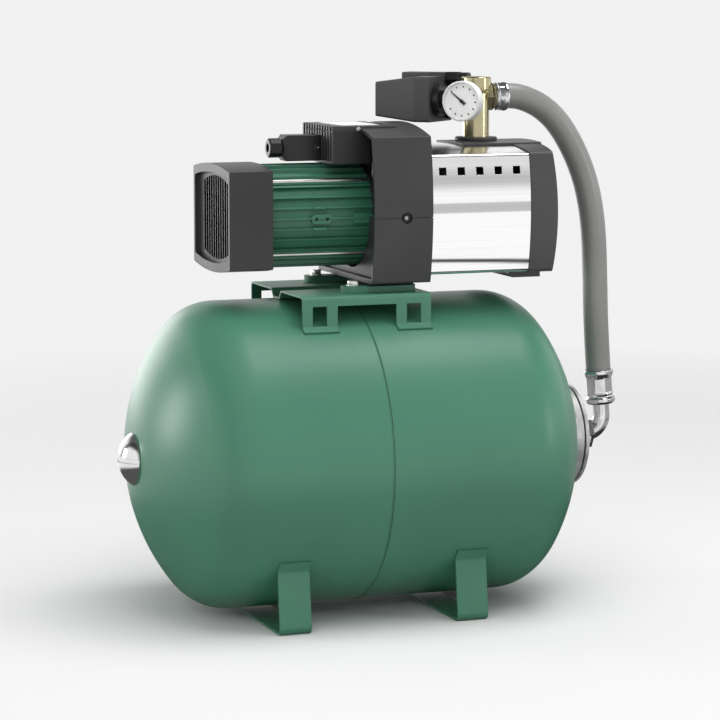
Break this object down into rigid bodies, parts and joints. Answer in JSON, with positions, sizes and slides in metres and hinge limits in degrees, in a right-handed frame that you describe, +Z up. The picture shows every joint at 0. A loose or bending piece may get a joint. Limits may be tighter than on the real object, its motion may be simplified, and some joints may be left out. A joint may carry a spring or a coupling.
{
  "type": "booster pump set",
  "caption": "Horizontal pressure vessel carrying a multistage pump with motor, gauge, pressure switch and a hose down to the vessel; boosts water pressure in a building.",
  "frame": {"origin": "on the floor under the centre of the set, measured without the hose and its ferrules", "axes": "+X along the vessel towards the hose elbow, against the way in which the supply cable leaves, +Y to the side where the pressure switch points, +Z up, out of the discharge port"},
  "size_m": [0.6642, 0.38, 0.6625],
  "materials": {
    "vessel_green": "semi-gloss green paint",
    "console_green": "semi-gloss green paint",
    "motor_green": "satin green paint on ribbed aluminium",
    "dark_plastic": "matt dark grey",
    "black_plastic": "matt black",
    "stainless": "polished stainless sheet",
    "inner_steel": "pressed stainless",
    "zinc": "bright zinc plate",
    "galvanised": "galvanised",
    "chrome": "polished chrome",
    "brass": "pale machined brass",
    "copper": "enamelled copper windings",
    "cast_iron": "painted casting",
    "core_steel": "laminated steel",
    "rubber": "butyl rubber",
    "hose_grey": "grey reinforced hose",
    "white_plastic": "glossy white",
    "dial_white": "matt white with plain ticks",
    "needle_black": "matt black",
    "glass": "clear window",
    "film_can": "capacitor can"
  },
  "bodies": {
    "set": {"tank_left_shell": "vessel_green", "tank_right_shell": "vessel_green", "tank_flange_ring": "galvanised", "bladder": "rubber", "counter_flange": "galvanised", "flange_bolts": "zinc", "air_valve": "brass", "foot_left": "vessel_green", "foot_right": "vessel_green", "console": "console_green", "carrier_bar_front": "console_green", "carrier_bar_rear": "console_green", "carrier_fixings": "zinc", "elbow": "chrome", "elbow_nut": "chrome", "hose": "hose_grey", "hose_ferrule_upper": "chrome", "hose_ferrule_lower": "chrome", "hose_nut": "brass", "five_way": "brass", "gauge_case": "white_plastic", "gauge_dial": "dial_white", "gauge_window": "glass", "gauge_stem": "brass", "switch_base": "black_plastic", "switch_diaphragm_housing": "black_plastic", "switch_cover": "dark_plastic", "switch_glands": "black_plastic", "pump_end_cap": "dark_plastic", "pump_shroud": "stainless", "pump_casing": "inner_steel", "stage_bowls": "inner_steel", "shaft_seal": "rubber", "lantern": "cast_iron", "cover_upper": "dark_plastic", "cover_lower": "dark_plastic", "cover_screws": "zinc", "discharge_collar": "dark_plastic", "motor_housing": "motor_green", "tie_rods": "zinc", "stator": "core_steel", "windings": "copper", "bearings": "inner_steel", "fan_cover": "dark_plastic", "end_shield": "motor_green", "terminal_box": "dark_plastic", "terminal_lid": "dark_plastic", "lid_screws": "zinc", "capacitor": "film_can"},
    "rotor": {"pump_shaft": "inner_steel", "rotor_core": "core_steel", "impellers": "inner_steel", "fan": "black_plastic"},
    "needle": {"gauge_needle": "needle_black"},
    "valve_cap": {"valve_cover": "chrome"},
    "valve_pin": {"air_valve_pin": "brass"},
    "connector": {"connector_plug": "black_plastic", "gland_nut": "black_plastic"},
    "lever": {"switch_lever": "zinc"},
    "plunger": {"switch_plunger": "brass"}
  },
  "joints": [
    {"name": "rotor_spin", "type": "hinge", "parent": "set", "child": "rotor", "pos_m": [-0.04013, 0, 0.491], "axis": [1, 0, 0], "continuous": true},
    {"name": "needle_sweep", "type": "hinge", "parent": "set", "child": "needle", "pos_m": [0.14037, 0, 0.629], "axis": [0.7071, 0.7071, 0], "range_deg": [0, 270], "stiffness_Nm_per_rad": 0.002},
    {"name": "valve_cap_pull", "type": "slide", "parent": "set", "child": "valve_cap", "axis": [-1, 0, 0], "range_m": [0, 0.04]},
    {"name": "valve_pin_press", "type": "slide", "parent": "set", "child": "valve_pin", "axis": [1, 0, 0], "range_m": [0, 0.0015], "stiffness_N_per_m": 500},
    {"name": "connector_unplug", "type": "slide", "parent": "set", "child": "connector", "axis": [-1, 0, 0], "range_m": [0, 0.035]},
    {"name": "lever_tilt", "type": "hinge", "parent": "set", "child": "lever", "pos_m": [0.12058, 0.06788, 0.629], "axis": [0, 0, -1], "range_deg": [0, 3.4], "stiffness_Nm_per_rad": 1},
    {"name": "plunger_push", "type": "slide", "parent": "set", "child": "plunger", "axis": [-0.7071, 0.7071, 0], "range_m": [0, 0.0021]}
  ],
  "couplings": [
    {"joint": "plunger_push", "follows": "lever_tilt", "m_per_rad": 0.034}
  ]
}
